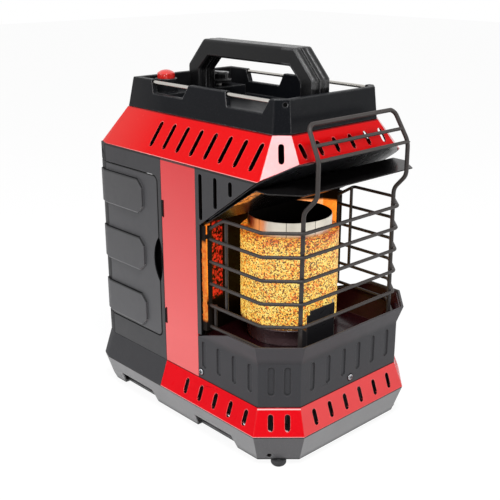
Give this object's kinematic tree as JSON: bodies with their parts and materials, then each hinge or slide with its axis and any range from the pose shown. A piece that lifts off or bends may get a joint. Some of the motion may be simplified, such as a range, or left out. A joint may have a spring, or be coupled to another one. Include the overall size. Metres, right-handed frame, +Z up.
{
  "type": "portable propane heater",
  "caption": "Portable radiant gas heater with a drum burner behind a wire guard, a hinged cylinder door, a top tray and a carrying handle.",
  "frame": {"origin": "centre of the bounding box in plan, at the underside of the rubber feet", "axes": "+Z up, -Y the way the burner faces, -X the side with the cylinder door"},
  "size_m": [0.2474, 0.321, 0.432],
  "materials": {
    "red_gloss": "gloss",
    "red_paint": "satin",
    "pan_grey": "satin",
    "dark_plastic": "satin",
    "black_plastic": "satin",
    "rubber": "matte",
    "steel": "satin",
    "mirror_steel": "polished",
    "hot_mesh": "glowing",
    "black_enamel": "gloss",
    "liner_enamel": "gloss",
    "dark_wire": "satin",
    "brass": "satin",
    "alloy": "satin",
    "ceramic": "matte",
    "button_red": "gloss"
  },
  "bodies": {
    "heater": {"base_pan": "pan_grey", "rubber_feet": "rubber", "front_skirt": "red_gloss", "rear_skirt": "dark_plastic", "side_frame": "dark_plastic", "door_hinge_pins": "steel", "door_catch": "steel", "right_side_panel": "dark_plastic", "back_panel": "dark_plastic", "left_column": "red_paint", "right_column": "red_paint", "left_vent_panel": "dark_plastic", "right_vent_panel": "dark_plastic", "front_basin": "dark_plastic", "basin_liner": "liner_enamel", "hood": "red_gloss", "top_tray": "black_plastic", "tray_rods": "steel", "handle_core": "black_plastic", "left_grip": "black_plastic", "right_grip": "black_plastic", "handle_screws": "steel", "case_screws": "steel", "bulkhead": "steel", "heat_reflector": "mirror_steel", "upper_deflector": "black_enamel", "lower_deflector": "black_enamel", "burner_mesh": "hot_mesh", "burner_band": "steel", "burner_ring": "black_enamel", "flame_tube": "black_enamel", "mixer_tube": "steel", "gas_injector": "brass", "burner_stand": "steel", "pilot_burner": "steel", "spark_electrode": "ceramic", "thermocouple": "steel", "guard_frame": "dark_wire", "guard_cross_bars": "dark_wire", "guard_rail": "dark_wire", "guard_loop_1": "dark_wire", "guard_loop_2": "dark_wire", "guard_loop_3": "dark_wire", "guard_loop_4": "dark_wire", "guard_top_loop": "dark_wire", "guard_stays": "dark_wire", "guard_brackets": "dark_wire", "regulator": "alloy", "regulator_bracket": "steel", "cylinder_cradle": "steel", "supply_pipe": "steel", "burner_pipe": "steel", "control_valve": "brass", "igniter_body": "steel", "tip_switch": "ceramic"},
    "door": {"cylinder_door": "dark_plastic"},
    "stem": {"valve_stem": "steel"},
    "knob": {"control_knob": "black_plastic"},
    "button": {"igniter_button": "button_red"},
    "pendulum": {"tip_pendulum": "brass"}
  },
  "joints": [
    {"name": "door_hinge", "type": "hinge", "parent": "heater", "child": "door", "pos_m": [-0.103, 0.15505, 0.195], "axis": [0, 0, -1], "range_deg": [0, 110]},
    {"name": "knob_turn", "type": "hinge", "parent": "heater", "child": "stem", "pos_m": [0.035, 0.108, 0.36], "axis": [0, 0, 1], "range_deg": [0, 200]},
    {"name": "knob_push", "type": "slide", "parent": "stem", "child": "knob", "axis": [0, 0, -1], "range_m": [0, 0.003], "stiffness_N_per_m": 300, "springref_m": -0.003},
    {"name": "igniter_push", "type": "slide", "parent": "heater", "child": "button", "axis": [0, 0, -1], "range_m": [0, 0.005], "stiffness_N_per_m": 300, "springref_m": -0.003},
    {"name": "tip_swing", "type": "hinge", "parent": "heater", "child": "pendulum", "pos_m": [0.054, 0.11005, 0.03], "axis": [1, 0, 0], "range_deg": [-20, 20]}
  ]
}
